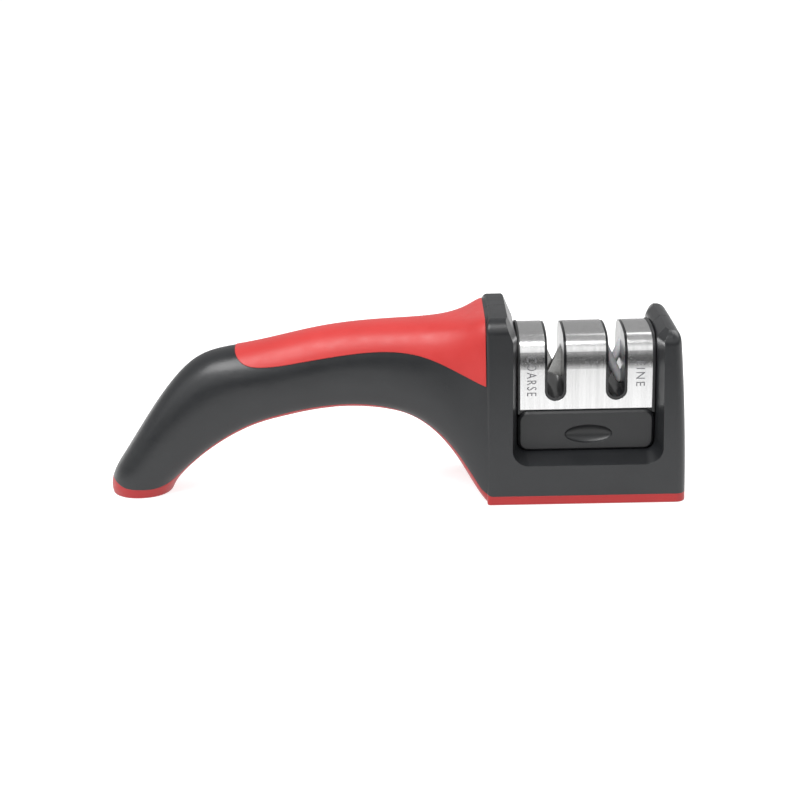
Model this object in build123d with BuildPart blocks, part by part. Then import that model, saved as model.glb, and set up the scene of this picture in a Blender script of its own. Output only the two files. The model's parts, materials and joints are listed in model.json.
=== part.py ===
"""Two-stage pull-through sharpener: a two-half housing with a soft grip and sole, and a lift-out cartridge.

Millimetres. X runs along the tool with the head at +X, -Y is the front, and Z is up from the table.
"""
import os
from math import cos, radians, sin
from build123d import *

os.makedirs("parts", exist_ok=True)

# How far a cutting form reaches past what it cuts, and the small overlap of joined forms.
REACH = 40.0
OVERLAP = 1.0

# ---- Driving dimensions: housing
HEAD_X = 32.0
HEAD_END_X = 100.4
HEAD_BOW_X = 99.8
HEAD_BOW_Z = 30.0
HEAD_TOP_END_X = 97.3
HEAD_TOP_END_Z = 66.3
HEAD_HALF_DEPTH = 24.2
HEAD_LEAN = 0.043
TALL_TOWER_Z = 65.4
LOW_TOWER_Z = 60.5
TOWER_SPLIT_X = 66.0
CROWN_DROP = 0.3
SHOULDER_RADIUS = 5.0
END_EDGE_RADIUS = 3.6
NEAR_EDGE_RADIUS = 1.2
NEAR_CORNER_RADIUS = 4.4
FRAME_SHIFT_X = 0.84
WALL = 2.4
SEAM_GAP = 0.2
LOW_TOWER_SOLID_X = 91.0

# ---- Driving dimensions: sole and pads
PAD_PROUD = 0.3
SOLE_TOP_HEAD = 3.3
GRIP_DEPTH = 2.2
GRIP_PROUD = 0.2
PAD_THICKNESS = 1.2
HEAD_PAD_DIAMETER = 8.0
HEAD_PAD_PLACES = [(39.0, -15.0), (39.0, 15.0), (92.5, -15.0), (92.5, 15.0)]
TAIL_PAD_X = -90.5
TAIL_PAD_LENGTH = 13.0
TAIL_PAD_WIDTH = 8.0

# ---- Driving dimensions: saddle that the cartridge sits in
SADDLE_X0 = 42.7
SADDLE_X1 = 90.4
SADDLE_FLOOR_Z = 16.7
SADDLE_CORNER_RADIUS = 3.2
SADDLE_HALF_DEPTH = 15.0
SADDLE_FLARE = 2.2
SADDLE_FLARE_DEPTH = 9.4
SADDLE_DROP = 2.9
SADDLE_BEND_Z = 57.6
LEFT_LEAN = 0.42
POCKET_X0 = 46.6
POCKET_X1 = 86.4
POCKET_HALF_DEPTH = 11.3
POCKET_FLOOR_Z = 5.6
CLIP_SPACE_DEPTH = 0.9
CLIP_THICKNESS = 0.5
CLIP_HALF_WIDTH = 4.0
CLIP_BOTTOM_Z = 7.6
CLIP_TOP_Z = 14.6

# ---- Driving dimensions: cartridge
FIT_GAP = 0.3
CARTRIDGE_X0 = SADDLE_X0 + FIT_GAP
CARTRIDGE_X1 = SADDLE_X1 - FIT_GAP
PANEL_HALF_DEPTH = 15.6
PANEL_TOP_Z = 31.2
COVER_X0 = 43.8
COVER_X1 = 89.2
COVER_BOTTOM_Z = 31.8
COVER_HALF_DEPTH = 15.2
COVER_BOW_Z = 46.0
COVER_BOW_IN = 0.3
COVER_SHOULDER_Z = 52.0
COVER_SHOULDER_IN = 1.15
COVER_CORNER_Z = 56.3
COVER_CORNER_IN = 2.27
COVER_TOP_Z = 58.0
COVER_RADIUS = 7.2
COVER_THICKNESS = 0.8
CHEEK_PROUD = 0.3
CHEEK_REBATE = 1.6
PANEL_CORNER_RADIUS = 3.6
PANEL_LIP = 0.9
CURB_TOP_Z = 33.4
CURB_HALF_DEPTH = 14.3
TONGUE_BOTTOM_Z = POCKET_FLOOR_Z + FIT_GAP
TONGUE_WALL = 1.8
TONGUE_X0 = POCKET_X0 + FIT_GAP
TONGUE_X1 = POCKET_X1 - FIT_GAP
TONGUE_HALF_DEPTH = POCKET_HALF_DEPTH - FIT_GAP
DENT_X = 67.4
DENT_Z = 22.8
DENT_WIDTH = 16.4
DENT_HEIGHT = 6.6
DENT_DEPTH = 1.8
INSIDE_HALF_DEPTH = 12.6
CARTRIDGE_SCREW_PLACES = [(47.2, 24.0), (85.8, 24.0)]
CARTRIDGE_SCREW_DIAMETER = 2.0
CARTRIDGE_HEAD_DIAMETER = 3.6
CARTRIDGE_BOSS_DIAMETER = 4.6
CARTRIDGE_HEAD_SEAT_Y = 12.0
CARTRIDGE_HEAD_HEIGHT = 1.6
CARTRIDGE_SCREW_DEPTH = 8.5
TRAY_HEIGHT = 3.0
TRAY_WALL = 1.0

# ---- Driving dimensions: sharpening stages
COARSE_X = 56.0
FINE_X = 76.9
SLOT_WIDTH = 7.4
SLOT_BOTTOM_Z = 34.8
GUIDE_CLEARANCE = 0.1
LIP_RECESS = 0.2
GUIDE_SLOT_BOTTOM_Z = 35.8
GUIDE_SLOT_WIDTH = 5.6
GUIDE_WIDTH = 12.6
GUIDE_HALF_DEPTH = 12.4
GUIDE_BOTTOM_Z = 20.0
V_CROSSING_Z = 45.2
V_HALF_ANGLE = 25.0
PLATE_LENGTH = 12.0
PLATE_WIDTH = 5.4
PLATE_THICKNESS = 2.0
PLATE_SHIFT = 2.0
PIN_DIAMETER = 2.0
PIN_LENGTH = 18.0
PIN_UP = 4.6
ROD_CROSSING_Z = 43.4
ROD_HALF_ANGLE = 25.0
ROD_DIAMETER = 3.0
ROD_LENGTH = 16.0
ROD_SHIFT = 1.2
ROD_GAP = 0.2
ROD_OFFSET_X = 0.3
ROD_END_RADIUS = 1.2

# ---- Driving dimensions: fasteners
SCREW_DIAMETER = 2.6
SCREW_HEAD_DIAMETER = 5.0
SCREW_HEAD_HEIGHT = 2.0
SCREW_HEAD_GAP = 0.2
SCREW_SOCKET_RADIUS = 1.3
SCREW_SOCKET_DEPTH = 1.2
BOSS_DIAMETER = 6.8
HEAD_SEAT_Y = 7.0
SHELL_SCREW_PLACES = [(-81.0, 27.0), (-33.0, 43.0), (14.0, 43.0), (38.6, 9.2), (94.6, 9.2)]
SCREW_DEPTH = 9.0
SCREW_END_GAP = 0.5

# Stations along the handle. Each is a slice across it: the points where it meets the top ridge and the
# underside on the mid plane, half its width, the squareness of its upper and lower halves (0.55 is round
# and 1 is nearly square), and its taper from bottom to top.
STATIONS = [
    ((-99.8, -3.0), (-81.4, -3.0), 10.6, 0.58, 0.60, 0.0),
    ((-101.9, 4.2), (-78.8, 3.0), 11.8, 0.58, 0.66, 0.0),
    ((-96.7, 14.2), (-73.9, 8.8), 12.3, 0.63, 0.76, 0.0),
    ((-77.9, 40.7), (-57.8, 20.8), 13.0, 0.64, 0.84, 0.0),
    ((-67.4, 49.4), (-48.6, 25.2), 13.0, 0.64, 0.86, 0.0),
    ((-52.0, 53.0), (-38.0, 28.2), 13.0, 0.64, 0.86, 0.0),
    ((-25.0, 58.5), (-20.0, 31.1), 12.8, 0.65, 0.86, 0.0),
    ((0.0, 60.7), (-2.0, 30.0), 13.4, 0.70, 0.86, 0.0),
    ((18.0, 61.6), (12.0, 24.1), 15.8, 0.80, 0.90, 0.03),
    ((27.0, 63.2), (22.6, 12.8), 19.6, 1.00, 1.00, 0.06),
    ((32.4, 64.6), (31.2, 0.2), 22.3, 1.10, 1.12, 0.07),
    ((38.0, 64.2), (38.0, -2.0), 22.0, 1.08, 1.10, 0.07),
]

# Upper edge of the sole, seen from the front: foot, arch, then the head.
SOLE_EDGE = [
    (-104.0, 7.4), (-101.1, 6.2), (-96.6, 4.1), (-91.0, 3.5), (-85.0, 3.7), (-80.6, 5.1), (-75.8, 8.9),
    (-65.6, 17.8), (-52.0, 26.0), (-34.0, 31.6), (-17.0, 33.6), (-3.0, 32.4), (9.0, 28.1), (18.0, 21.8),
    (24.6, 13.8), (28.8, 7.4), (31.4, 4.3),
]
# Lower edge of the grip, seen from the front, from the ridge to the head.
GRIP_EDGE = [
    (-55.8, 56.0), (-54.6, 51.8), (-51.6, 48.9), (-45.6, 47.8), (-33.0, 49.2), (-16.0, 51.8),
    (-2.0, 52.8), (10.0, 51.3), (21.0, 47.2), (31.9, 42.5),
]


def handle_slice(station, inset):
    """One slice across the handle, moved inwards by inset, as four curved quarters."""
    top, bottom, half_width, upper, lower, taper = station
    across = Vector(top[0] - bottom[0], 0, top[1] - bottom[1])
    middle = ((top[0] + bottom[0]) / 2, 0, (top[1] + bottom[1]) / 2)
    plane = Plane(origin=middle, x_dir=(0, 1, 0), z_dir=Vector(0, 1, 0).cross(across))
    height = across.length / 2 - inset
    width = half_width - inset
    with BuildSketch(plane) as outline:
        with BuildLine():
            for side, end, squareness in ((1, 1, upper), (1, -1, lower), (-1, -1, lower), (-1, 1, upper)):
                tip = (0, end * height)
                near_tip = (side * width * squareness * (1 - end * taper), end * height)
                near_side = (side * width * (1 - end * squareness * taper), end * squareness * height)
                flank = (side * width, 0)
                Bezier(tip, near_tip, near_side, flank)
        make_face()
    return outline.sketch


def handle_form(inset):
    """The handle from its foot to inside the head, with every slice moved inwards by inset."""
    with BuildPart() as form:
        for station in STATIONS:
            add(handle_slice(station, inset))
        loft()
    return form.part


def head_profile(top_z, inset):
    """Cross-section of a tower: leaning sides, round shoulders and a slightly crowned top."""
    lean_half = HEAD_HALF_DEPTH - HEAD_LEAN * (top_z - CROWN_DROP)
    with BuildSketch() as profile:
        with BuildLine():
            Polyline((lean_half, top_z - CROWN_DROP), (HEAD_HALF_DEPTH, 0), (-HEAD_HALF_DEPTH, 0),
                     (-lean_half, top_z - CROWN_DROP))
            ThreePointArc((-lean_half, top_z - CROWN_DROP), (0, top_z), (lean_half, top_z - CROWN_DROP))
        make_face()
        fillet(profile.vertices().group_by(Axis.Y)[-1], SHOULDER_RADIUS)
        if inset != 0:
            offset(amount=-inset, kind=Kind.INTERSECTION)
    return profile.sketch


def head_side(inset):
    """Outline of the head from the front, with its bowed far end and the rounded corner under the handle."""
    near_x = HEAD_X + (WALL if inset > 0 else 0)
    base_z = inset if inset > 0 else -OVERLAP
    with BuildSketch(Plane.XZ) as side:
        with BuildLine():
            ThreePointArc(
                (HEAD_END_X - inset, base_z), (HEAD_BOW_X - inset, HEAD_BOW_Z),
                (HEAD_TOP_END_X - inset, HEAD_TOP_END_Z),
            )
            Polyline(
                (HEAD_TOP_END_X - inset, HEAD_TOP_END_Z), (near_x, HEAD_TOP_END_Z), (near_x, base_z),
                (HEAD_END_X - inset, base_z),
            )
        make_face()
        fillet(side.vertices().group_by(Axis.X)[0].sort_by(Axis.Z)[0], NEAR_CORNER_RADIUS)
    return side.sketch


def head_form(inset):
    """The head block with its tall tower, its low tower and the block between them."""
    far_x = HEAD_END_X + 2 * OVERLAP
    with BuildPart() as form:
        for top_z, start_x, stop_x in (
            (TALL_TOWER_Z, HEAD_X, TOWER_SPLIT_X), (LOW_TOWER_Z, TOWER_SPLIT_X, far_x)
        ):
            with BuildSketch(Plane.YZ.offset(start_x)):
                add(head_profile(top_z, inset))
            extrude(amount=stop_x - start_x)
        with BuildSketch(Plane.XZ):
            add(head_side(inset))
        extrude(amount=REACH, both=True, mode=Mode.INTERSECT)
        if inset <= 0:
            for face, radius in (
                (form.faces().sort_by(Axis.X)[-1], END_EDGE_RADIUS),
                (form.faces().sort_by(Axis.X)[0], NEAR_EDGE_RADIUS),
            ):
                rim = face.edges().filter_by(lambda edge: edge.center().Z > NEAR_CORNER_RADIUS + 1)
                fillet(rim, radius)
    return form.part


def outer_form(growth):
    """The whole tool's outer shape above the table, grown outwards by growth."""
    with BuildPart() as form:
        add(handle_form(-growth))
        add(head_form(-growth))
        with BuildSketch(Plane.XY.offset(PAD_PROUD)):
            Rectangle(2 * (HEAD_END_X + REACH), 2 * REACH)
        extrude(amount=-REACH, mode=Mode.SUBTRACT)
    return form.part


def sole_zone(rise):
    """Everything below the sole's upper edge, with that edge raised by rise."""
    edge = [(x, z + rise) for x, z in SOLE_EDGE]
    head_edge = (HEAD_X + 2, SOLE_TOP_HEAD + rise)
    with BuildPart() as zone:
        with BuildSketch(Plane.XZ):
            with BuildLine():
                Spline(edge + [head_edge], tangents=[(2.4, -1), (1, 0)], tangent_scalars=[0.6, 0.6])
                Polyline(
                    head_edge, (HEAD_END_X + REACH, head_edge[1]), (HEAD_END_X + REACH, -REACH),
                    (edge[0][0], -REACH), edge[0],
                )
            make_face()
        extrude(amount=REACH, both=True)
    return zone.part


def grip_zone(drop):
    """Everything above the grip's lower edge, from the grip's tail to the head, lowered by drop."""
    edge = [(x, z - drop) for x, z in GRIP_EDGE]
    with BuildPart() as zone:
        with BuildSketch(Plane.XZ):
            with BuildLine():
                Spline(edge)
                Polyline(edge[-1], (edge[-1][0], 2 * REACH), (edge[0][0], 2 * REACH), edge[0])
            make_face()
        extrude(amount=REACH, both=True)
    return zone.part


def saddle_outline(depth, spread, drop, radius):
    """The saddle's open U seen from the front, on the plane at a depth, widened by spread."""
    left = SADDLE_X0 - spread
    right = SADDLE_X1 + spread
    floor = SADDLE_FLOOR_Z - drop
    top_z = TALL_TOWER_Z + REACH
    rise = top_z - SADDLE_BEND_Z
    with BuildSketch(Plane.XZ.offset(-depth)) as outline:
        with BuildLine():
            Polyline(
                (left, floor), (right, floor), (right, SADDLE_BEND_Z), (right + rise, top_z),
                (left - LEFT_LEAN * rise, top_z), (left, SADDLE_BEND_Z), close=True,
            )
        make_face()
        fillet(outline.vertices().group_by(Axis.Z)[0], radius)
    return outline.sketch


def saddle_space(growth):
    """The space between the towers, narrowest on the mid plane and flared to both faces."""
    reach = HEAD_HALF_DEPTH + 2 - SADDLE_HALF_DEPTH
    flare = reach * SADDLE_FLARE / SADDLE_FLARE_DEPTH
    drop = reach * SADDLE_DROP / SADDLE_FLARE_DEPTH
    with BuildPart() as space:
        for depth, spread, lowered in (
            (-SADDLE_HALF_DEPTH - reach, growth + flare, growth + drop),
            (-SADDLE_HALF_DEPTH, growth, growth),
            (SADDLE_HALF_DEPTH, growth, growth),
            (SADDLE_HALF_DEPTH + reach, growth + flare, growth + drop),
        ):
            add(saddle_outline(depth, spread, lowered, SADDLE_CORNER_RADIUS + lowered))
        loft(ruled=True)
    return space.part


def bar_along_y(places, diameter, y0, y1):
    """Round bars or holes along Y, one at each place, from y0 to y1."""
    with BuildPart() as bars:
        with BuildSketch(Plane.XZ.offset(-y0)):
            with Locations(*places):
                Circle(diameter / 2)
        extrude(amount=y0 - y1)
    return bars.part


def block(x0, x1, half_depth, z0, z1):
    """A plain block centred on the mid plane."""
    with BuildPart() as solid:
        with BuildSketch(Plane.XY.offset(z0)):
            with Locations(((x0 + x1) / 2, 0)):
                Rectangle(x1 - x0, 2 * half_depth)
        extrude(amount=z1 - z0)
    return solid.part


def cover_outline(growth, bottom_z):
    """Cross-section of the cartridge's bowed top, grown outwards by growth and cut off at bottom_z."""
    half = COVER_HALF_DEPTH
    with BuildSketch() as outline:
        with BuildLine():
            ThreePointArc(
                (half - COVER_CORNER_IN, COVER_CORNER_Z), (0, COVER_TOP_Z),
                (COVER_CORNER_IN - half, COVER_CORNER_Z),
            )
            for side in (-1, 1):
                bow = (side * (half - COVER_BOW_IN), COVER_BOW_Z)
                shoulder = (side * (half - COVER_SHOULDER_IN), COVER_SHOULDER_Z)
                rise = (bow[0] - side * half, COVER_BOW_Z - COVER_BOTTOM_Z)
                Polyline((side * half, 0), (side * half, COVER_BOTTOM_Z), bow)
                TangentArc(bow, shoulder, tangent=rise)
                Line(shoulder, (side * (half - COVER_CORNER_IN), COVER_CORNER_Z))
            Line((-half, 0), (half, 0))
        make_face()
        fillet(outline.vertices().group_by(Axis.Y)[-1], COVER_RADIUS)
        if growth != 0:
            offset(amount=growth, kind=Kind.INTERSECTION)
        with Locations((0, bottom_z - REACH)):
            Rectangle(2 * REACH, 2 * REACH, mode=Mode.SUBTRACT)
    return outline.sketch


def arched_block(x0, x1, growth, bottom_z):
    """A block with the cartridge's arched cross-section, from x0 to x1."""
    with BuildPart() as solid:
        with BuildSketch(Plane.YZ.offset(x0)):
            add(cover_outline(growth, bottom_z))
        extrude(amount=x1 - x0)
    return solid.part


def slot_space(centre_x, width, bottom_z):
    """An upright slot with a round bottom, open at the top and through both faces."""
    with BuildPart() as space:
        with BuildSketch(Plane.XZ):
            with Locations((centre_x, bottom_z + width / 2)):
                Circle(width / 2)
            with Locations((centre_x, bottom_z + width / 2 + REACH / 2)):
                Rectangle(width, REACH)
        extrude(amount=REACH, both=True)
    return space.part


def carbide_plate(side):
    """One plate of the V. Its long edge crosses the slot, and side is -1 for the front plate."""
    lean = radians(V_HALF_ANGLE)
    along = (-side * sin(lean), cos(lean))
    across = (-side * cos(lean), -sin(lean))
    x = COARSE_X + along[0] * PLATE_SHIFT + across[0] * PLATE_WIDTH / 2
    z = V_CROSSING_Z + along[1] * PLATE_SHIFT + across[1] * PLATE_WIDTH / 2
    with BuildPart() as plate:
        with BuildSketch(Plane.XZ):
            with Locations((x, z)):
                Rectangle(PLATE_WIDTH, PLATE_LENGTH, rotation=side * V_HALF_ANGLE)
        extrude(amount=-side * PLATE_THICKNESS)
    return plate.part


def pin_place(side):
    """Where the pin of one carbide plate stands, beside the slot."""
    lean = radians(V_HALF_ANGLE)
    x = COARSE_X - side * (sin(lean) * PIN_UP + cos(lean) * PLATE_WIDTH / 2)
    z = V_CROSSING_Z + cos(lean) * PIN_UP - sin(lean) * PLATE_WIDTH / 2
    return (x, z)


def ceramic_rod(side):
    """One rod of the crossed pair, with rounded ends. side is -1 for the front rod, which leans left."""
    lean = radians(ROD_HALF_ANGLE)
    direction = Vector(side * sin(lean), 0, cos(lean))
    crossing = Vector(FINE_X + ROD_OFFSET_X, side * (ROD_DIAMETER + ROD_GAP) / 2, ROD_CROSSING_Z)
    foot = crossing + direction * (ROD_SHIFT - ROD_LENGTH / 2)
    with BuildPart() as rod:
        with BuildSketch(Plane(origin=foot, x_dir=(0, 1, 0), z_dir=direction)):
            Circle(ROD_DIAMETER / 2)
        extrude(amount=ROD_LENGTH)
        fillet(rod.edges().filter_by(GeomType.CIRCLE), ROD_END_RADIUS)
    return rod.part


def guide_block(centre_x):
    """The plastic block of one stage: a thick block under the cover, with lips that line the slot."""
    half = GUIDE_WIDTH / 2
    lip_half = SLOT_WIDTH / 2 - GUIDE_CLEARANCE
    with BuildPart() as lip:
        add(arched_block(centre_x - lip_half, centre_x + lip_half, -LIP_RECESS, SLOT_BOTTOM_Z - 2))
        add(
            slot_space(centre_x, 2 * lip_half, SLOT_BOTTOM_Z + GUIDE_CLEARANCE), mode=Mode.INTERSECT
        )
    with BuildPart() as guide:
        add(arched_block(
            centre_x - half, centre_x + half, -COVER_THICKNESS - GUIDE_CLEARANCE, CURB_TOP_Z
        ))
        add(block(centre_x - half, centre_x + half, GUIDE_HALF_DEPTH, GUIDE_BOTTOM_Z, CURB_TOP_Z))
        add(lip.part)
        add(slot_space(centre_x, GUIDE_SLOT_WIDTH, GUIDE_SLOT_BOTTOM_Z), mode=Mode.SUBTRACT)
    return guide.part


# ---- Spaces that the housing's pieces share
outer = outer_form(0)
seat = handle_form(GRIP_DEPTH)
grip_space = grip_zone(0)
saddle = saddle_space(0)
pocket = block(POCKET_X0, POCKET_X1, POCKET_HALF_DEPTH, POCKET_FLOOR_Z, SADDLE_FLOOR_Z + OVERLAP)
pocket_walls = block(
    POCKET_X0 - WALL, POCKET_X1 + WALL, POCKET_HALF_DEPTH + WALL, 0, SADDLE_FLOOR_Z + OVERLAP
)
bosses = bar_along_y(SHELL_SCREW_PLACES, BOSS_DIAMETER, -REACH, REACH)

clip_space = block(
    POCKET_X0 - CLIP_SPACE_DEPTH, POCKET_X1 + CLIP_SPACE_DEPTH, CLIP_HALF_WIDTH, CLIP_BOTTOM_Z, CLIP_TOP_Z
)

with BuildPart() as grip_cut:
    add(grip_space)
    add(seat, mode=Mode.SUBTRACT)

with BuildPart() as hollow:
    add(handle_form(WALL))
    add(grip_zone(WALL), mode=Mode.SUBTRACT)
    add(handle_form(WALL + GRIP_DEPTH))
    add(head_form(WALL))
    add(saddle_space(WALL), mode=Mode.SUBTRACT)
    add(pocket_walls, mode=Mode.SUBTRACT)
    add(sole_zone(WALL), mode=Mode.SUBTRACT)
    add(bosses, mode=Mode.SUBTRACT)
    add(block(LOW_TOWER_SOLID_X, HEAD_END_X, HEAD_HALF_DEPTH, 0, TALL_TOWER_Z), mode=Mode.SUBTRACT)

# ---- Housing: both halves as one, then cut apart along the tool's mid plane
with BuildPart() as housing:
    add(outer)
    add(hollow.part, mode=Mode.SUBTRACT)
    add(saddle, mode=Mode.SUBTRACT)
    add(pocket, mode=Mode.SUBTRACT)
    add(sole_zone(0), mode=Mode.SUBTRACT)
    add(grip_cut.part, mode=Mode.SUBTRACT)
    with BuildSketch(Plane.XZ):
        Rectangle(2 * (HEAD_END_X + REACH), 2 * (TALL_TOWER_Z + REACH))
        with Locations(*SHELL_SCREW_PLACES):
            Circle(BOSS_DIAMETER / 2, mode=Mode.SUBTRACT)
    extrude(amount=SEAM_GAP / 2, both=True, mode=Mode.SUBTRACT)

with BuildPart() as front_shell:
    add(housing.part)
    split(bisect_by=Plane.XZ, keep=Keep.TOP)
    add(
        bar_along_y(SHELL_SCREW_PLACES, SCREW_DIAMETER, -SCREW_DEPTH - SCREW_END_GAP, OVERLAP),
        mode=Mode.SUBTRACT,
    )
    add(clip_space, mode=Mode.SUBTRACT)

with BuildPart() as rear_shell:
    add(housing.part)
    split(bisect_by=Plane.XZ, keep=Keep.BOTTOM)
    add(bar_along_y(SHELL_SCREW_PLACES, SCREW_DIAMETER, -OVERLAP, HEAD_SEAT_Y), mode=Mode.SUBTRACT)
    add(
        bar_along_y(SHELL_SCREW_PLACES, SCREW_HEAD_DIAMETER + 2 * SCREW_HEAD_GAP, HEAD_SEAT_Y, REACH),
        mode=Mode.SUBTRACT,
    )
    add(clip_space, mode=Mode.SUBTRACT)

# ---- Grip, sole, pads and housing screws
with BuildPart() as thumb_grip:
    add(outer_form(GRIP_PROUD))
    add(grip_cut.part, mode=Mode.INTERSECT)

with BuildPart() as base_sole:
    add(outer)
    add(sole_zone(0), mode=Mode.INTERSECT)
    with BuildSketch(Plane.XY.offset(PAD_PROUD)):
        with Locations(*HEAD_PAD_PLACES):
            Circle(HEAD_PAD_DIAMETER / 2)
        with Locations((TAIL_PAD_X, 0)):
            SlotOverall(TAIL_PAD_LENGTH, TAIL_PAD_WIDTH)
    extrude(amount=PAD_THICKNESS - PAD_PROUD, mode=Mode.SUBTRACT)

with BuildPart() as head_feet:
    with BuildSketch(Plane.XY):
        with Locations(*HEAD_PAD_PLACES):
            Circle(HEAD_PAD_DIAMETER / 2)
    extrude(amount=PAD_THICKNESS)

with BuildPart() as tail_foot:
    with BuildSketch(Plane.XY):
        with Locations((TAIL_PAD_X, 0)):
            SlotOverall(TAIL_PAD_LENGTH, TAIL_PAD_WIDTH)
    extrude(amount=PAD_THICKNESS)

with BuildPart() as shell_screws:
    add(bar_along_y(SHELL_SCREW_PLACES, SCREW_DIAMETER, -SCREW_DEPTH, HEAD_SEAT_Y))
    add(bar_along_y(SHELL_SCREW_PLACES, SCREW_HEAD_DIAMETER, HEAD_SEAT_Y, HEAD_SEAT_Y + SCREW_HEAD_HEIGHT))
    with BuildSketch(Plane.XZ.offset(-HEAD_SEAT_Y - SCREW_HEAD_HEIGHT)):
        with Locations(*SHELL_SCREW_PLACES):
            RegularPolygon(SCREW_SOCKET_RADIUS, 6)
    extrude(amount=SCREW_SOCKET_DEPTH, mode=Mode.SUBTRACT)

# ---- Leaf clips in the pocket's end walls, which brace the cartridge's tongue
with BuildPart() as detent_clips:
    for end_x, outwards in ((POCKET_X0, -1), (POCKET_X1, 1)):
        back_x = end_x + outwards * CLIP_SPACE_DEPTH
        face_x = back_x - outwards * CLIP_THICKNESS
        add(block(min(back_x, face_x), max(back_x, face_x), CLIP_HALF_WIDTH, CLIP_BOTTOM_Z, CLIP_TOP_Z))

# ---- Cartridge: steel cover
with BuildPart() as steel_cover:
    add(arched_block(COVER_X0, COVER_X1, 0, COVER_BOTTOM_Z))
    add(
        arched_block(
            COVER_X0 - OVERLAP, COVER_X1 + OVERLAP, -COVER_THICKNESS, COVER_BOTTOM_Z - OVERLAP
        ),
        mode=Mode.SUBTRACT,
    )
    add(slot_space(COARSE_X, SLOT_WIDTH, SLOT_BOTTOM_Z), mode=Mode.SUBTRACT)
    add(slot_space(FINE_X, SLOT_WIDTH, SLOT_BOTTOM_Z), mode=Mode.SUBTRACT)

# ---- Cartridge: the stages' plates, rods and blocks
with BuildPart() as carbide_plate_front:
    add(carbide_plate(-1))
    add(bar_along_y([pin_place(-1)], PIN_DIAMETER, -REACH, REACH), mode=Mode.SUBTRACT)

with BuildPart() as carbide_plate_rear:
    add(carbide_plate(1))
    add(bar_along_y([pin_place(1)], PIN_DIAMETER, -REACH, REACH), mode=Mode.SUBTRACT)

with BuildPart() as carbide_pins:
    add(bar_along_y([pin_place(-1), pin_place(1)], PIN_DIAMETER, -PIN_LENGTH / 2, PIN_LENGTH / 2))

with BuildPart() as coarse_guide:
    add(guide_block(COARSE_X))
    add(carbide_plate(-1), mode=Mode.SUBTRACT)
    add(carbide_plate(1), mode=Mode.SUBTRACT)
    add(carbide_pins.part, mode=Mode.SUBTRACT)

with BuildPart() as ceramic_rod_front:
    add(ceramic_rod(-1))

with BuildPart() as ceramic_rod_rear:
    add(ceramic_rod(1))

with BuildPart() as fine_guide:
    add(guide_block(FINE_X))
    add(ceramic_rod(-1), mode=Mode.SUBTRACT)
    add(ceramic_rod(1), mode=Mode.SUBTRACT)

# ---- Cartridge: insert, both halves as one, then cut apart along the mid plane
dent = scale(Sphere(1), by=(DENT_WIDTH / 2, DENT_DEPTH, DENT_HEIGHT / 2))
cartridge_bosses = bar_along_y(CARTRIDGE_SCREW_PLACES, CARTRIDGE_BOSS_DIAMETER, -REACH, REACH)
inside_x0 = COVER_X0 + CHEEK_REBATE
inside_x1 = COVER_X1 - CHEEK_REBATE

with BuildPart() as insert:
    with BuildSketch(Plane.XZ) as panel_face:
        with Locations(((CARTRIDGE_X0 + CARTRIDGE_X1) / 2, (SADDLE_FLOOR_Z + PANEL_TOP_Z) / 2)):
            Rectangle(CARTRIDGE_X1 - CARTRIDGE_X0, PANEL_TOP_Z - SADDLE_FLOOR_Z)
        fillet(panel_face.vertices().group_by(Axis.Z)[0], PANEL_CORNER_RADIUS)
    extrude(amount=PANEL_HALF_DEPTH, both=True)
    top_edges = insert.faces().sort_by(Axis.Z)[-1].edges().filter_by(Axis.X)
    chamfer(top_edges, PANEL_LIP)
    add(arched_block(CARTRIDGE_X0, COVER_X0, CHEEK_PROUD, PANEL_TOP_Z - PANEL_LIP))
    add(arched_block(COVER_X1, CARTRIDGE_X1, CHEEK_PROUD, PANEL_TOP_Z - PANEL_LIP))
    add(arched_block(COVER_X0, inside_x0, -COVER_THICKNESS, PANEL_TOP_Z - PANEL_LIP))
    add(arched_block(inside_x1, COVER_X1, -COVER_THICKNESS, PANEL_TOP_Z - PANEL_LIP))
    add(block(COVER_X0, COVER_X1, CURB_HALF_DEPTH, PANEL_TOP_Z - PANEL_LIP, CURB_TOP_Z))
    add(block(TONGUE_X0, TONGUE_X1, TONGUE_HALF_DEPTH, TONGUE_BOTTOM_Z, SADDLE_FLOOR_Z + OVERLAP))
    add(
        block(inside_x0, inside_x1, INSIDE_HALF_DEPTH, SADDLE_FLOOR_Z + TONGUE_WALL, CURB_TOP_Z + OVERLAP)
        - cartridge_bosses,
        mode=Mode.SUBTRACT,
    )
    add(
        block(
            TONGUE_X0 + TONGUE_WALL, TONGUE_X1 - TONGUE_WALL, TONGUE_HALF_DEPTH - TONGUE_WALL,
            TONGUE_BOTTOM_Z + TONGUE_WALL, SADDLE_FLOOR_Z + TONGUE_WALL + OVERLAP,
        ),
        mode=Mode.SUBTRACT,
    )
    add(Pos(DENT_X, -PANEL_HALF_DEPTH, DENT_Z) * dent, mode=Mode.SUBTRACT)
    add(Pos(DENT_X, PANEL_HALF_DEPTH, DENT_Z) * dent, mode=Mode.SUBTRACT)

with BuildPart() as insert_front:
    add(insert.part)
    split(bisect_by=Plane.XZ, keep=Keep.TOP)
    add(
        bar_along_y(
            CARTRIDGE_SCREW_PLACES, CARTRIDGE_SCREW_DIAMETER, -CARTRIDGE_SCREW_DEPTH - SCREW_END_GAP, OVERLAP
        ),
        mode=Mode.SUBTRACT,
    )

with BuildPart() as insert_rear:
    add(insert.part)
    split(bisect_by=Plane.XZ, keep=Keep.BOTTOM)
    add(
        bar_along_y(CARTRIDGE_SCREW_PLACES, CARTRIDGE_SCREW_DIAMETER, -OVERLAP, CARTRIDGE_HEAD_SEAT_Y),
        mode=Mode.SUBTRACT,
    )
    add(
        bar_along_y(CARTRIDGE_SCREW_PLACES, CARTRIDGE_HEAD_DIAMETER, CARTRIDGE_HEAD_SEAT_Y, REACH),
        mode=Mode.SUBTRACT,
    )

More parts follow.
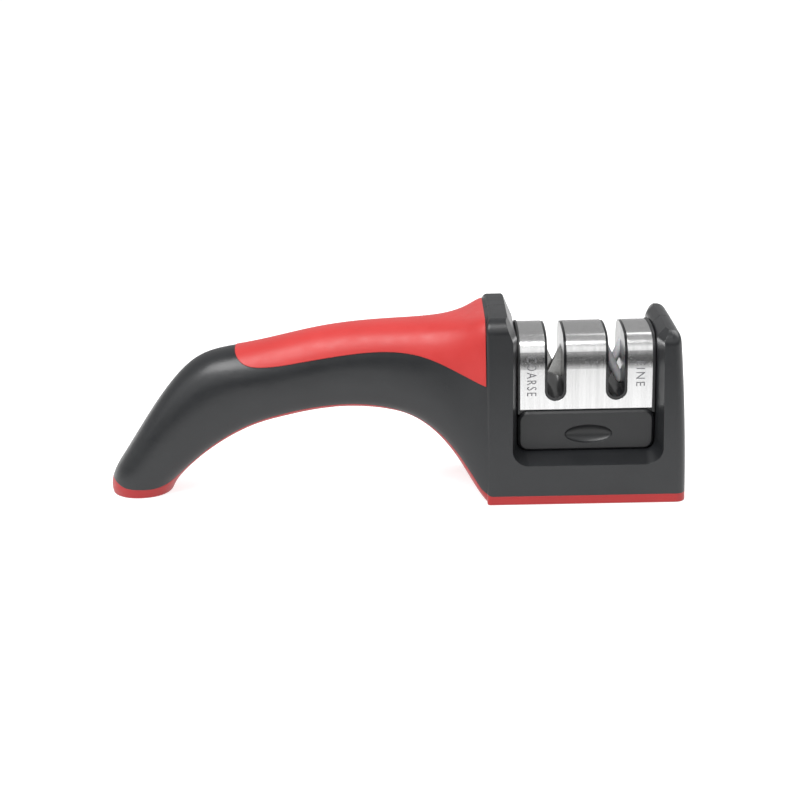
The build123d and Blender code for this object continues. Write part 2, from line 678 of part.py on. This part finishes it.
with BuildPart() as cartridge_screws:
    add(bar_along_y(
        CARTRIDGE_SCREW_PLACES, CARTRIDGE_SCREW_DIAMETER, -CARTRIDGE_SCREW_DEPTH, CARTRIDGE_HEAD_SEAT_Y,
    ))
    add(bar_along_y(
        CARTRIDGE_SCREW_PLACES, CARTRIDGE_HEAD_DIAMETER, CARTRIDGE_HEAD_SEAT_Y,
        CARTRIDGE_HEAD_SEAT_Y + CARTRIDGE_HEAD_HEIGHT,
    ))

with BuildPart() as filings_tray:
    tray_x0 = TONGUE_X0 + TONGUE_WALL
    tray_x1 = TONGUE_X1 - TONGUE_WALL
    tray_half = TONGUE_HALF_DEPTH - TONGUE_WALL
    tray_z = TONGUE_BOTTOM_Z + TONGUE_WALL
    add(block(tray_x0, tray_x1, tray_half, tray_z, tray_z + TRAY_HEIGHT))
    add(
        block(
            tray_x0 + TRAY_WALL, tray_x1 - TRAY_WALL, tray_half - TRAY_WALL, tray_z + TRAY_WALL,
            tray_z + TRAY_HEIGHT + OVERLAP,
        ),
        mode=Mode.SUBTRACT,
    )

pieces = {
    "front_shell": front_shell, "rear_shell": rear_shell, "thumb_grip": thumb_grip,
    "base_sole": base_sole, "head_feet": head_feet, "tail_foot": tail_foot,
    "shell_screws": shell_screws, "detent_clips": detent_clips,
    "insert_front": insert_front, "insert_rear": insert_rear, "steel_cover": steel_cover,
    "coarse_guide": coarse_guide, "carbide_plate_front": carbide_plate_front,
    "carbide_plate_rear": carbide_plate_rear, "carbide_pins": carbide_pins,
    "fine_guide": fine_guide, "ceramic_rod_front": ceramic_rod_front,
    "ceramic_rod_rear": ceramic_rod_rear, "cartridge_screws": cartridge_screws,
    "filings_tray": filings_tray,
}
for name, piece in pieces.items():
    placed = Pos(FRAME_SHIFT_X, 0, 0) * piece.part
    placed.label = name
    export_step(placed, f"parts/{name}.step")
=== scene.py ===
"""Studio picture of a hand-held two-stage edge sharpener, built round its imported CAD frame. Metres."""
import json
from math import cos, radians, sin

import bpy
from mathutils import Matrix, Vector


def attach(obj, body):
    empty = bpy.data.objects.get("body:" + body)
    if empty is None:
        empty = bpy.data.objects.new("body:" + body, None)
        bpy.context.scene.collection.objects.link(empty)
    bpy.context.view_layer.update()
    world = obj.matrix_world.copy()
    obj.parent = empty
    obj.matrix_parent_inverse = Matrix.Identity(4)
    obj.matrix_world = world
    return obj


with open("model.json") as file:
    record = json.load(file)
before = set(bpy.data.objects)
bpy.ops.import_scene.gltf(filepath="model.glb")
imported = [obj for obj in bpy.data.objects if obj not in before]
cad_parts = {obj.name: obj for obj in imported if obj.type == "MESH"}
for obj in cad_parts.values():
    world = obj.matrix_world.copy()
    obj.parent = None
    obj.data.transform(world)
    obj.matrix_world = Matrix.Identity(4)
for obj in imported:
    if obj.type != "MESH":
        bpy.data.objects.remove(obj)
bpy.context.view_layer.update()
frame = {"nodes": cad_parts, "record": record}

# ---- Camera: where it stands round the tool, and its lens
CAMERA_TARGET = Vector((0.00306, 0.0, 0.03135))
CAMERA_DISTANCE = 0.561
CAMERA_AZIMUTH = radians(0.88)
CAMERA_ELEVATION = radians(18.0)
CAMERA_ROLL = radians(1.4)
LENS_MM = 71.2
SENSOR_MM = 36.0
CLIP_NEAR, CLIP_FAR = 0.01, 20.0

# ---- Levels of light that the surroundings give, 1.0 being white
DIFFUSE_LEVEL = 0.6
BELOW_LEVEL = 0.9
STRIP_LEVEL = 0.04
SOFTBOX_LEVEL = 1.3
TOP_LEVEL = 0.45
BEHIND_LEVEL = 0.42
FLOOR_GLOW = 0.75
FLOOR_FRONT_Y = -0.235
FLOOR_REACH = 3.0
FLOOR_TONES = ((0.45, 0.45, 0.45), (0.46, 0.46, 0.46))

# ---- Where each level of the mirrored surroundings starts and ends.
# 0 is straight down and 1 is straight up.
BELOW_END = 0.375
STRIP_START, STRIP_END = 0.41, 0.602
SOFTBOX_START, SOFTBOX_END = 0.608, 0.80
TOP_START = 0.86
BEHIND_FROM_Y, BEHIND_TO_Y = -0.1, 0.25

# ---- The point that both soft lights face
LIGHT_TARGET = (0.0, 0.0, 0.02)

# ---- The middle part of a noise's values, which is stretched over a material's range
NOISE_LOW, NOISE_HIGH = 0.3, 0.7


# ---------------------------------------------------------------- node helpers
def mix_colours(nodes, links, factor, first, second):
    """A colour between two, by a factor from 0 to 1. Each colour is a socket or three numbers."""
    node = nodes.new("ShaderNodeMix")
    node.data_type = "RGBA"
    links.new(factor, node.inputs["Factor"])
    colours = [socket for socket in node.inputs if socket.type == "RGBA"]
    for socket, value in zip(colours, (first, second)):
        if isinstance(value, tuple):
            socket.default_value = (*value, 1.0)
        else:
            links.new(value, socket)
    return next(socket for socket in node.outputs if socket.type == "RGBA")


class Shader:
    """A material's node tree with a Principled shader, and short ways to add to it."""

    def __init__(self, name, **values):
        self.material = bpy.data.materials.new(name)
        self.material.use_nodes = True
        self.nodes = self.material.node_tree.nodes
        self.links = self.material.node_tree.links
        self.shader = self.nodes["Principled BSDF"]
        self.set(**values)
        self.coords = self.nodes.new("ShaderNodeTexCoord").outputs["Object"]

    def set(self, **values):
        """Values on the shader's own sockets, with spaces in their names as underscores."""
        for key, value in values.items():
            self.shader.inputs[key.replace("_", " ")].default_value = value

    def join(self, source, target):
        self.links.new(source, target)

    def stretched(self, scale):
        """The object's coordinates, multiplied along each axis."""
        node = self.nodes.new("ShaderNodeMapping")
        node.inputs["Scale"].default_value = scale
        self.join(self.coords, node.inputs["Vector"])
        return node.outputs["Vector"]

    def noise(self, scale, detail=3.0, roughness=0.55, coords=None):
        node = self.nodes.new("ShaderNodeTexNoise")
        node.inputs["Scale"].default_value = scale
        node.inputs["Detail"].default_value = detail
        node.inputs["Roughness"].default_value = roughness
        self.join(coords or self.coords, node.inputs["Vector"])
        return node.outputs["Fac"]

    def remap(self, value, low, high, out_low, out_high):
        node = self.nodes.new("ShaderNodeMapRange")
        for name, number in (
            ("From Min", low), ("From Max", high), ("To Min", out_low), ("To Max", out_high)
        ):
            node.inputs[name].default_value = number
        self.join(value, node.inputs["Value"])
        return node.outputs["Result"]

    def spread(self, noise, out_low, out_high):
        """A noise's usual values, spread between two numbers."""
        return self.remap(noise, NOISE_LOW, NOISE_HIGH, out_low, out_high)

    def math(self, operation, first, second):
        node = self.nodes.new("ShaderNodeMath")
        node.operation = operation
        for socket, value in ((node.inputs[0], first), (node.inputs[1], second)):
            if isinstance(value, (int, float)):
                socket.default_value = value
            else:
                self.join(value, socket)
        return node.outputs["Value"]

    def mix(self, factor, first, second):
        return mix_colours(self.nodes, self.links, factor, first, second)

    def bump(self, height, distance, normal=None):
        """A normal bent by a height. The distance is what a height of 1 stands for."""
        node = self.nodes.new("ShaderNodeBump")
        node.inputs["Strength"].default_value = 1.0
        node.inputs["Distance"].default_value = distance
        self.join(height, node.inputs["Height"])
        if normal is not None:
            self.join(normal, node.inputs["Normal"])
        return node.outputs["Normal"]

    def rounded(self, radius):
        """The normal with sharp edges rounded to a radius."""
        node = self.nodes.new("ShaderNodeBevel")
        node.samples = 4
        node.inputs["Radius"].default_value = radius
        return node.outputs["Normal"]

    def drive(self, socket, value):
        self.join(value, self.shader.inputs[socket])


def scaled(colour, factor):
    """A colour made darker or lighter."""
    return tuple(factor * channel for channel in colour)


def moulded_plastic(name, light, dark, roughness, grain=0.00001, edge=0.0003):
    """Moulded plastic: a fine spark-eroded grain, faint flow patches and softly rounded edges."""
    s = Shader(name, IOR=1.49)
    patches = s.spread(s.noise(45.0, 2.0), 0.0, 1.0)
    s.drive("Base Color", s.mix(patches, dark, light))
    fine = s.noise(5200.0, 2.0)
    haze = s.noise(160.0, 3.0)
    grained = s.spread(fine, roughness - 0.05, roughness + 0.05)
    s.drive("Roughness", s.math("ADD", grained, s.spread(haze, -0.03, 0.03)))
    s.drive("Normal", s.bump(fine, grain, s.rounded(edge)))
    return s.material


def soft_rubber(name, light, dark, roughness, edge=0.0004):
    """Soft elastomer: a matt skin with a fine pebble and faint handling marks."""
    pebble_height = 0.000014
    s = Shader(name, IOR=1.46, Sheen_Weight=0.08, Sheen_Roughness=0.5)
    patches = s.spread(s.noise(60.0, 3.0), 0.0, 1.0)
    s.drive("Base Color", s.mix(patches, dark, light))
    pebble = s.noise(3600.0, 2.0)
    s.drive("Roughness", s.spread(s.noise(240.0, 3.0), roughness - 0.06, roughness + 0.06))
    s.drive("Normal", s.bump(pebble, pebble_height, s.rounded(edge)))
    return s.material


def brushed_steel(name, colour, roughness):
    """Steel brushed up and down: long fine scratches along Z, over broader faint streaks."""
    scratch_scale = (9000.0, 9000.0, 60.0)
    streak_scale = (900.0, 900.0, 12.0)
    scratch_depth, edge = 0.0000012, 0.00015
    s = Shader(name, Metallic=1.0)
    lines = s.noise(1.0, 4.0, 0.6, s.stretched(scratch_scale))
    broad = s.noise(1.0, 3.0, 0.5, s.stretched(streak_scale))
    tone = s.remap(s.math("ADD", lines, broad), 0.7, 1.3, 0.0, 1.0)
    s.drive("Base Color", s.mix(tone, scaled(colour, 0.86), scaled(colour, 1.05)))
    s.drive("Roughness", s.spread(lines, roughness - 0.06, roughness + 0.07))
    s.drive("Normal", s.bump(lines, scratch_depth, s.rounded(edge)))
    return s.material


def ground_metal(name, colour, roughness):
    """Ground metal: short cross scratches and tiny pits."""
    scratch_scale = (400.0, 400.0, 9000.0)
    scratch_depth, edge = 0.000002, 0.0001
    s = Shader(name, Metallic=1.0)
    lines = s.noise(1.0, 3.0, 0.6, s.stretched(scratch_scale))
    pits = s.remap(s.noise(2600.0, 2.0), 0.35, 0.7, 0.0, 1.0)
    s.drive("Base Color", s.mix(pits, scaled(colour, 0.8), colour))
    s.drive("Roughness", s.spread(lines, roughness - 0.06, roughness + 0.08))
    s.drive("Normal", s.bump(lines, scratch_depth, s.rounded(edge)))
    return s.material


def fired_ceramic(name, colour):
    """Unglazed fine ceramic: pale, slightly mottled and softly shining."""
    grain_height = 0.000006
    s = Shader(name, IOR=1.6, Subsurface_Weight=0.15, Subsurface_Scale=0.0006)
    mottle = s.remap(s.noise(1500.0, 3.0), 0.35, 0.65, 0.0, 1.0)
    s.drive("Base Color", s.mix(mottle, scaled(colour, 0.86), colour))
    s.drive("Roughness", s.remap(mottle, 0.0, 1.0, 0.3, 0.42))
    s.drive("Normal", s.bump(s.noise(6000.0, 2.0), grain_height))
    return s.material


# ---------------------------------------------------------------- materials on the CAD nodes
BY_SLOT = {
    "housing": moulded_plastic(
        "housing", light=(0.0125, 0.0135, 0.0150), dark=(0.0100, 0.0108, 0.0120), roughness=0.34),
    "insert": moulded_plastic(
        "insert", light=(0.0115, 0.0120, 0.0130), dark=(0.0090, 0.0095, 0.0105), roughness=0.38),
    "guides": moulded_plastic(
        "guides", light=(0.008, 0.008, 0.009), dark=(0.006, 0.006, 0.007), roughness=0.20,
        grain=0.000003, edge=0.0001),
    "grip": soft_rubber("grip", light=(0.44, 0.022, 0.020), dark=(0.40, 0.018, 0.016), roughness=0.46),
    "sole": soft_rubber("sole", light=(0.34, 0.012, 0.013), dark=(0.30, 0.010, 0.011), roughness=0.50),
    "pads": soft_rubber("pads", light=(0.03, 0.03, 0.03), dark=(0.02, 0.02, 0.02), roughness=0.65),
    "cover": brushed_steel("cover", (0.66, 0.66, 0.66), 0.22),
    "screws": ground_metal("screws", (0.62, 0.62, 0.62), 0.25),
    "carbide": ground_metal("carbide", (0.42, 0.42, 0.41), 0.30),
    "ceramic": fired_ceramic("ceramic", (0.72, 0.72, 0.74)),
}
for part in frame["record"]["subparts"]:
    node = frame["nodes"][part["node"]]
    node.data.materials.clear()
    node.data.materials.append(BY_SLOT[part["material_slot"]])


# ---------------------------------------------------------------- etched words on the cover
COVER_FRONT_Y = -0.0152
COVER_BOTTOM_Z = 0.0318
COVER_BOW_Z = 0.046
COVER_BOW_IN = 0.0003
COVER_SHOULDER_Z = 0.052
COVER_SHOULDER_IN = 0.00115
WORD_PROUD = 0.00006
WORD_THICKNESS = 0.0001
LETTER_SPACING = 1.3


def cover_face_y(z):
    """How far forward the cover's bowed front stands at a height."""
    tilt = COVER_BOW_IN / (COVER_BOW_Z - COVER_BOTTOM_Z)
    if z <= COVER_BOW_Z:
        return COVER_FRONT_Y + tilt * (z - COVER_BOTTOM_Z)
    rise = z - COVER_BOW_Z
    reach = COVER_SHOULDER_Z - COVER_BOW_Z
    curl = (COVER_SHOULDER_IN - COVER_BOW_IN - tilt * reach) / reach ** 2
    return COVER_FRONT_Y + COVER_BOW_IN + tilt * rise + curl * rise ** 2


def etched_word(word, left_x, top_z, size, length):
    """A word etched down the steel, read with the tool's head turned up, as thin dark letters."""
    curve = bpy.data.curves.new(word, "FONT")
    curve.body = word
    curve.size = size
    curve.space_character = LETTER_SPACING
    curve.resolution_u = 3
    curve.extrude = WORD_THICKNESS / 2
    shape = bpy.data.objects.new(word, curve)
    bpy.context.scene.collection.objects.link(shape)
    bpy.context.view_layer.update()
    evaluated = shape.evaluated_get(bpy.context.evaluated_depsgraph_get())
    mesh = bpy.data.meshes.new_from_object(evaluated)
    bpy.data.objects.remove(shape)
    places = [vertex.co.x for vertex in mesh.vertices]
    start = min(places)
    stretch = length / (max(places) - start)
    for vertex in mesh.vertices:
        along, up, out = vertex.co
        z = top_z - (along - start) * stretch
        vertex.co = (left_x + up, cover_face_y(z) - WORD_PROUD + WORD_THICKNESS / 2 - out, z)
    piece = bpy.data.objects.new(f"word_{word.lower()}", mesh)
    bpy.context.scene.collection.objects.link(piece)
    mesh.materials.append(ETCHED)
    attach(piece, "cartridge")


ETCHED = ground_metal("etched", (0.26, 0.26, 0.27), 0.5)
etched_word("COARSE", left_x=0.04704, top_z=0.0507, size=0.0047, length=0.0140)
etched_word("FINE", left_x=0.08444, top_z=0.0483, size=0.0043, length=0.0087)


# ---------------------------------------------------------------- studio
def grey(level):
    return level, level, level


def studio_world():
    """White surroundings. Mirrored, they show a dark strip in front at table height, and grey behind."""
    world = bpy.data.worlds.new("studio")
    world.use_nodes = True
    nodes, links = world.node_tree.nodes, world.node_tree.links
    axes = nodes.new("ShaderNodeSeparateXYZ")
    links.new(nodes.new("ShaderNodeTexCoord").outputs["Generated"], axes.inputs["Vector"])
    ramp_node = nodes.new("ShaderNodeValToRGB")
    ramp = ramp_node.color_ramp
    stops = (
        (0.0, BELOW_LEVEL), (BELOW_END, BELOW_LEVEL),
        (STRIP_START, STRIP_LEVEL), (STRIP_END, STRIP_LEVEL),
        (SOFTBOX_START, SOFTBOX_LEVEL), (SOFTBOX_END, SOFTBOX_LEVEL),
        (TOP_START, TOP_LEVEL), (1.0, TOP_LEVEL),
    )
    while len(ramp.elements) < len(stops):
        ramp.elements.new(0.5)
    for element, (place, level) in zip(ramp.elements, stops):
        element.position = place
        element.color = (*grey(level), 1.0)
    height = nodes.new("ShaderNodeMapRange")
    height.inputs["From Min"].default_value = -1.0
    links.new(axes.outputs["Z"], height.inputs["Value"])
    links.new(height.outputs["Result"], ramp_node.inputs["Fac"])
    behind = nodes.new("ShaderNodeMapRange")
    behind.inputs["From Min"].default_value = BEHIND_FROM_Y
    behind.inputs["From Max"].default_value = BEHIND_TO_Y
    links.new(axes.outputs["Y"], behind.inputs["Value"])
    rays = nodes.new("ShaderNodeLightPath")

    mirrored = mix_colours(
        nodes, links, behind.outputs["Result"], ramp_node.outputs["Color"], grey(BEHIND_LEVEL)
    )
    lit = mix_colours(nodes, links, rays.outputs["Is Glossy Ray"], grey(DIFFUSE_LEVEL), mirrored)
    shown = mix_colours(nodes, links, rays.outputs["Is Camera Ray"], lit, grey(1.0))
    links.new(shown, nodes["Background"].inputs["Color"])
    bpy.context.scene.world = world


def floor():
    """A pale floor under the tool. It ends a little in front, so that the steel mirrors the strip beyond."""
    mesh = bpy.data.meshes.new("floor")
    corners = (
        (-FLOOR_REACH, FLOOR_FRONT_Y), (FLOOR_REACH, FLOOR_FRONT_Y),
        (FLOOR_REACH, FLOOR_REACH), (-FLOOR_REACH, FLOOR_REACH),
    )
    mesh.from_pydata([(x, y, 0.0) for x, y in corners], [], [(0, 1, 2, 3)])
    plane = bpy.data.objects.new("floor", mesh)
    bpy.context.scene.collection.objects.link(plane)
    s = Shader(
        "floor", Roughness=0.9, Emission_Color=(*grey(1.0), 1.0), Emission_Strength=FLOOR_GLOW
    )
    s.drive("Base Color", s.mix(s.noise(3.0, 2.0), *FLOOR_TONES))
    mesh.materials.append(s.material)


def softbox(name, place, target, size, power):
    """A rectangular soft light that faces a point."""
    light = bpy.data.lights.new(name, "AREA")
    light.shape = "RECTANGLE"
    light.size, light.size_y = size
    light.energy = power
    lamp = bpy.data.objects.new(name, light)
    lamp.location = place
    lamp.rotation_euler = (Vector(target) - Vector(place)).to_track_quat("-Z", "Y").to_euler()
    bpy.context.scene.collection.objects.link(lamp)


def camera():
    """The camera, rolled slightly."""
    data = bpy.data.cameras.new("camera")
    data.lens, data.sensor_width = LENS_MM, SENSOR_MM
    data.clip_start, data.clip_end = CLIP_NEAR, CLIP_FAR
    back = Vector((
        sin(CAMERA_AZIMUTH) * cos(CAMERA_ELEVATION),
        -cos(CAMERA_AZIMUTH) * cos(CAMERA_ELEVATION),
        sin(CAMERA_ELEVATION),
    ))
    place = Matrix.Translation(CAMERA_TARGET + back * CAMERA_DISTANCE)
    level = (-back).to_track_quat("-Z", "Y").to_matrix().to_4x4()
    roll = Matrix.Rotation(-CAMERA_ROLL, 4, "Z")
    item = bpy.data.objects.new("camera", data)
    item.matrix_world = place @ level @ roll
    bpy.context.scene.collection.objects.link(item)
    bpy.context.scene.camera = item


studio_world()
floor()
softbox("key", place=(-0.25, -0.35, 0.75), target=LIGHT_TARGET, size=(0.7, 0.5), power=9.0)
softbox("fill", place=(0.5, 0.3, 0.6), target=LIGHT_TARGET, size=(0.6, 0.6), power=4.0)
camera()
scene = bpy.context.scene
scene.view_settings.view_transform = "Standard"
scene.view_settings.look = "None"
